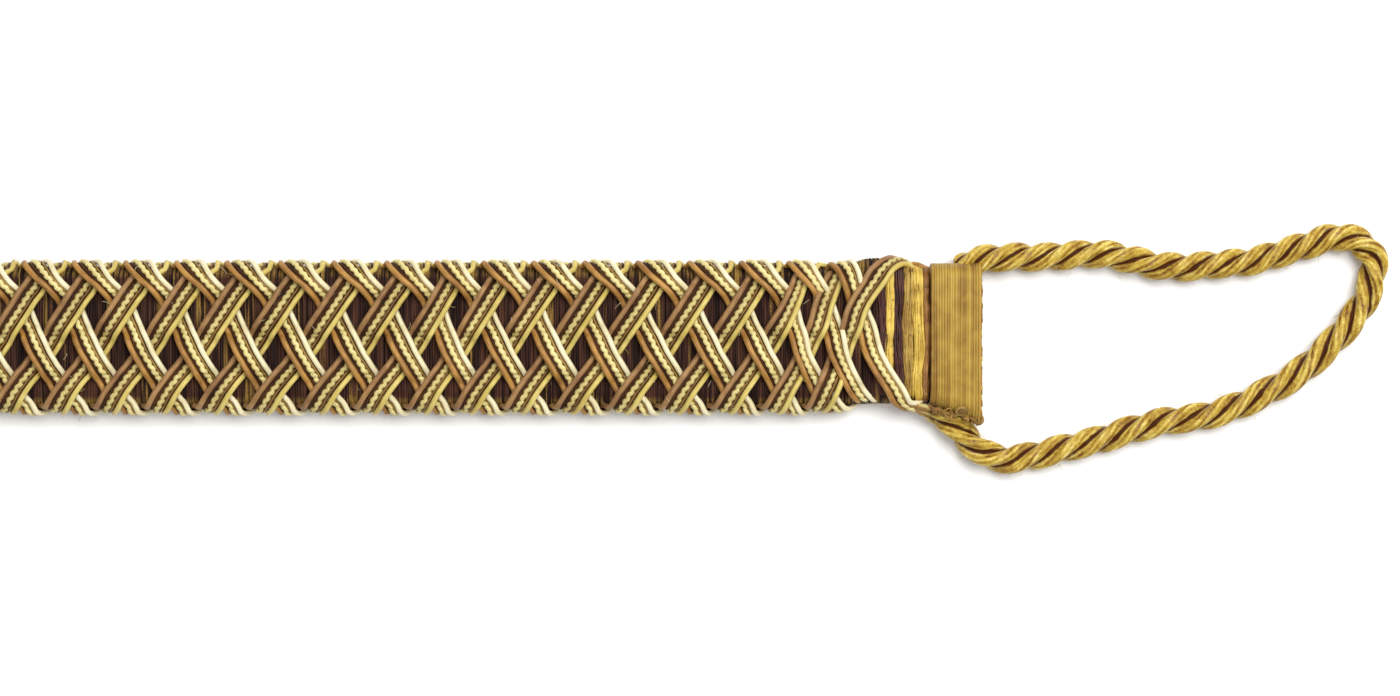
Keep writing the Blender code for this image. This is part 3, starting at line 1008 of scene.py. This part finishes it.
# ---- loose ends at a collar's lower corner
loose = {
    "gatherFrom": (0.1722, -0.0203),  # where the last cords of the braid slip down towards the rope
    "gatherTo": (0.1838, -0.0222),
    "gatherFan": 0.004,
    "gatherAside": 0.001,
    "gatherSway": 0.0008,
    "gatherHeight": 0.01,
    "gatherDrops": (0.003, 0.0022, 0.0052),  # of the last cord, of a cord's start and of its end
    "gatherSteps": 16,
    "gatherRadius": 0.00062,
    "gatherDeep": (0.1838, -0.024, 0.0058),  # and end inside it
    "gatherFinishes": (0, 1, 3, 0, 2, 1, 0, 3, 1),  # one for each cord
    "whorl": (0.189, -0.0228, 0.0124),
    "whorlTilt": 50,
    "whorlRadius": 0.0021,
    "whorlWinding": (34, 0.0, tau / 26, 0.012),  # points, start, step, and shrinking a step
    "whorlThread": 0.00055,
    "bead": [0.0005, 0.0009, 0.0012, 0.0013, 0.0012, 0.0009, 0.0005],
    "curls": 16,
    "curlFrom": (0.18, -0.0225),
    "curlTo": (0.1938, -0.0252),
    "curlRanges": (  # of its place aside, height, two half widths, two tilts, start and sweep
        (-0.0009, 0.0007), (0.0098, 0.0114), (0.0008, 0.0019), (0.0005, 0.0012),
        (-1.2, 1.2), (0.5, 1.3), (0.0, tau), (3.4, 6.4),
    ),
    "curlShrink": 0.25,
    "curlSteps": 17,
    "curlThread": (0.0003, 0.00048),
    "curlFinishes": (0, 2, 3, 3, 3),
    "curlSeed": 3,
    "knot": (0.1945, -0.0254, 0.01),
    "knotLoops": 4,
    "knotRadius": 0.0013,
    "knotWinding": (20, 0.0, tau / 20, 0.0),
    "knotThread": 0.0005,
}


def spiral(centre, turn, wide, tall, count, begin, step, shrink):
    points = []
    for i in range(count):
        angle, size = begin + step * i, 1 - shrink * i
        points.append(centre + turn @ Vector((wide * size * cos(angle), tall * size * sin(angle), 0.0)))
    return points


def gatheredCord(number):
    (x0, y0), (x1, y1) = loose["gatherFrom"], loose["gatherTo"]
    deep = Vector(loose["gatherDeep"])
    lastDrop, startDrop, endDrop = loose["gatherDrops"]
    share = number / (len(loose["gatherFinishes"]) - 1)
    points = []
    for step in range(loose["gatherSteps"] + 1):
        along = step / loose["gatherSteps"]
        aside = loose["gatherFan"] * share * smooth(along) + loose["gatherAside"] * share
        sway = loose["gatherSway"] * noise.noise(Vector((along * 3.4, number * 2.1, 0.0)))
        drop = lastDrop * share + startDrop * smooth(1 - along * 2) + endDrop * smooth(along * 2 - 1)
        point = Vector((
            x0 + (x1 - x0) * along + sway * 0.5, y0 + (y1 - y0) * along - aside + sway,
            loose["gatherHeight"] - drop + sway,
        ))
        points.append(point + (deep - point) * 0.8 * smooth(along * 3.2 - 2.2))
    return points


def addCurls(shape, place):  # short loops of loose thread along the collar's lower edge
    chance = random.Random(loose["curlSeed"])
    start, stop = Vector((*loose["curlFrom"], 0.0)), Vector((*loose["curlTo"], 0.0))
    steps = loose["curlSteps"]
    for number in range(loose["curls"]):
        centre = start.lerp(stop, (number + chance.random()) / loose["curls"])
        drawn = [chance.uniform(*bounds) for bounds in loose["curlRanges"]]
        aside, height, wide, tall, spin, tip, begin, sweep = drawn
        centre.y += aside
        centre.z = height
        turn = Matrix.Rotation(spin, 3, "Z") @ Matrix.Rotation(tip, 3, "X")
        curl = spiral(centre, turn, wide, tall, steps + 1, begin, sweep / steps, loose["curlShrink"] / steps)
        finish = chance.choice(loose["curlFinishes"])
        addCords(shape, [(place(curl), chance.uniform(*loose["curlThread"]))], finish, finer=2)


def makeLooseEnds():
    tilt = Matrix.Rotation(radians(loose["whorlTilt"]), 4, "X")
    out, size = loose["whorlRadius"], loose["knotRadius"]
    for word, place in ends:
        shape = bmesh.new()
        for number, finish in enumerate(loose["gatherFinishes"]):
            addCords(shape, [(place(gatheredCord(number)), loose["gatherRadius"])], finish, finer=2)
        centre = Vector(loose["whorl"])
        ring = spiral(centre, tilt, out * 0.85, out, *loose["whorlWinding"])
        addCords(shape, [(place(ring), loose["whorlThread"])], 3, finer=2)
        bead = [centre + tilt @ Vector((0.0001 * k, 0.0005 * k, -0.0006)) for k in range(-3, 4)]
        addCords(shape, [(place(bead), loose["bead"])], 2, finer=2)
        addCurls(shape, place)
        for number in range(loose["knotLoops"]):
            turn = Matrix.Rotation(number * 1.9, 4, (0.4, 0.7, 1.0 - 0.5 * number))
            loop = spiral(Vector(loose["knot"]), turn, size, size, *loose["knotWinding"])
            addCords(shape, [(place(loop), loose["knotThread"])], 3, cyclic=True)
        makePiece(f"looseEnds{word}", shape, ("brownFalling", "tanPly", "brownPly", "ochre"))


makeLooseEnds()
print("loose ends made")

# ---- cut yarn ends packed in the collars' outer faces
packed = {
    "spacing": 0.0015,
    "rowStep": 0.87,  # of the spacing
    "radius": 0.00084,
    "sizes": (0.85, 1.1),
    "jitter": 0.00022,
    "proud": 0.00022,
    "margin": 0.0011,
    "stub": ((-0.0014, 1.0), (-0.00025, 1.0), (-0.00008, 0.94), (0.0, 0.8)),  # places and widths along it
    # how often each finish comes
    "finishes": {"ochre": 6, "brownFalling": 4, "brownRising": 3, "brownPly": 3, "tanPly": 2, "gold": 1},
    "seed": 11,
}


def makePackedEnds():
    chance = random.Random(packed["seed"])
    spacing, margin, jitter = packed["spacing"], packed["margin"], packed["jitter"]
    names, shares = list(packed["finishes"]), list(packed["finishes"].values())
    rowStep = spacing * packed["rowStep"]
    lastRow = int(collar["thickness"] / rowStep)
    lastColumn = int((collar["top"] - collar["lowOuter"]) / spacing)
    rounding = collar["rounding"]
    for word, place in ends:
        shape = bmesh.new()
        stubs = [[] for _ in names]
        for row in range(lastRow + 1):
            for column in range(lastColumn + 1):
                y = collar["lowOuter"] + (column + 0.5 * (row % 2)) * spacing
                y += chance.uniform(-1, 1) * jitter
                z = row * rowStep + chance.uniform(-1, 1) * jitter
                inY = min(collar["top"] - y, y - collar["lowOuter"])
                inZ = min(collar["thickness"] - z, z)
                nearY, nearZ = max(rounding - inY, 0.0), max(rounding - inZ, 0.0)
                if min(inY, inZ) < margin or hypot(nearY, nearZ) > rounding - margin:
                    continue
                out = halfLength + packed["proud"] * chance.uniform(-1.0, 1.0)
                radius = packed["radius"] * chance.uniform(*packed["sizes"])
                stub = [Vector((out + back, y, z)) for back, width in packed["stub"]]
                finish = chance.choices(range(len(names)), shares)[0]
                stubs[finish].append((place(stub), [radius * width for back, width in packed["stub"]]))
        for finish, lines in enumerate(stubs):
            addCords(shape, lines, finish, finer=2)
        makePiece(f"packedEnds{word}", shape, names)


makePackedEnds()
print("yarn ends packed")

# ---- stray fibres that stand out of the braid and the rope
strays = {
    "onBand": 280,
    "onRope": 90,
    "radius": 0.00005,
    "length": (0.0014, 0.004),
    "steps": 6,
    "outward": 0.45,
    "curl": 0.35,
    "sag": 0.12,
    "lowest": 0.0002,
    "rootHeight": 0.0014,
    "upFrom": 0.0024,
    "ropeDepth": 0.42,  # of the rope's diameter
    "ropeStep": 0.001,
    "ropeMargin": 12,  # steps
    "seed": 5,
}


def anyWay(chance):
    return Vector([chance.uniform(-1, 1) for _ in range(3)])


def fibreFrom(root, out, chance):
    length = chance.uniform(*strays["length"])
    heading = (out * strays["outward"] + anyWay(chance).normalized()).normalized()
    curl = anyWay(chance) * strays["curl"]
    points = [Vector((root.x, root.y, max(root.z, strays["lowest"])))]
    for _ in range(strays["steps"]):
        heading = (heading + curl * 0.5 - out * strays["sag"]).normalized()
        points.append(points[-1] + heading * length / strays["steps"])
        points[-1].z = max(points[-1].z, strays["lowest"])
    return points, strays["radius"]


def makeFibres():
    chance = random.Random(strays["seed"])
    tints = ("goldPaintedHighlight", "gold", "brownRising")
    lines = [[] for _ in tints]
    for _ in range(strays["onBand"]):
        x, turns = chance.uniform(-1, 1) * collarFace, chance.random()
        root = onOval(x, turns, strays["rootHeight"])
        out = (onOval(x, turns, strays["upFrom"]) - root).normalized()
        lines[chance.randrange(len(tints))].append(fibreFrom(root, out, chance))
    shape = bmesh.new()
    for finish, gathered in enumerate(lines):
        addCords(shape, gathered, finish, finer=0)
    makePiece("fibresBand", shape, tints)
    for word, place in ends:
        path = place(evenly(smoothRoute(routePoints(), rope["samples"]), strays["ropeStep"]))
        lines = []
        for _ in range(strays["onRope"]):
            i = chance.randrange(strays["ropeMargin"], len(path) - strays["ropeMargin"])
            ahead = (path[i + 1] - path[i - 1]).normalized()
            out = ahead.orthogonal()
            out.rotate(Matrix.Rotation(chance.uniform(0, tau), 3, ahead))
            lines.append(fibreFrom(path[i] + out * rope["diameter"] * strays["ropeDepth"], out, chance))
        shape = bmesh.new()
        addCords(shape, lines, 0, finer=0)
        makePiece(f"fibresRope{word}", shape, ["gold"])


makeFibres()
print("stray fibres made")

# ---- floor and light
studio = {
    "floorSize": 6.0,
    "keyPlace": (0.62, 0.55, 1.45),
    "keySize": 1.3,
    "keyPower": 29.5,
    "fillPlace": (-0.9, -0.4, 1.2),
    "fillSize": 1.4,
    "fillPower": 3.0,
    "lightsMeet": (0.11, 0.0, 0.0),
    "sky": 0.475,
    "floorTones": ((0.955, 0.955, 0.955), (0.975, 0.975, 0.975)),
    "paper": 40.0,
}


def makeStudio():
    shape = bmesh.new()
    bmesh.ops.create_grid(shape, x_segments=1, y_segments=1, size=studio["floorSize"] / 2)
    mesh = bpy.data.meshes.new("floor")
    shape.to_mesh(mesh)
    shape.free()
    floor = stand("floor", mesh)
    material, shader, body = startMaterial("pale floor", 0.9)
    paper = grain(body, studio["paper"], 2.0)
    joinUp(material, shader, blendColours(paper, *studio["floorTones"]))
    mesh.materials.append(material)
    for name in ("key", "fill"):
        lamp = bpy.data.lights.new(name, "AREA")
        lamp.shape = "DISK"
        lamp.size = studio[f"{name}Size"]
        lamp.energy = studio[f"{name}Power"]
        holder = stand(name, lamp)
        holder.location = studio[f"{name}Place"]
        aim = Vector(studio["lightsMeet"]) - holder.location
        holder.rotation_euler = aim.to_track_quat("-Z", "Y").to_euler()
    world = bpy.data.worlds.new("studio")
    world.use_nodes = True
    background = world.node_tree.nodes["Background"]
    background.inputs["Color"].default_value = (1.0, 1.0, 1.0, 1.0)
    background.inputs["Strength"].default_value = studio["sky"]
    scene.world = world
    scene.view_settings.view_transform = "Standard"


makeStudio()
print("studio set")
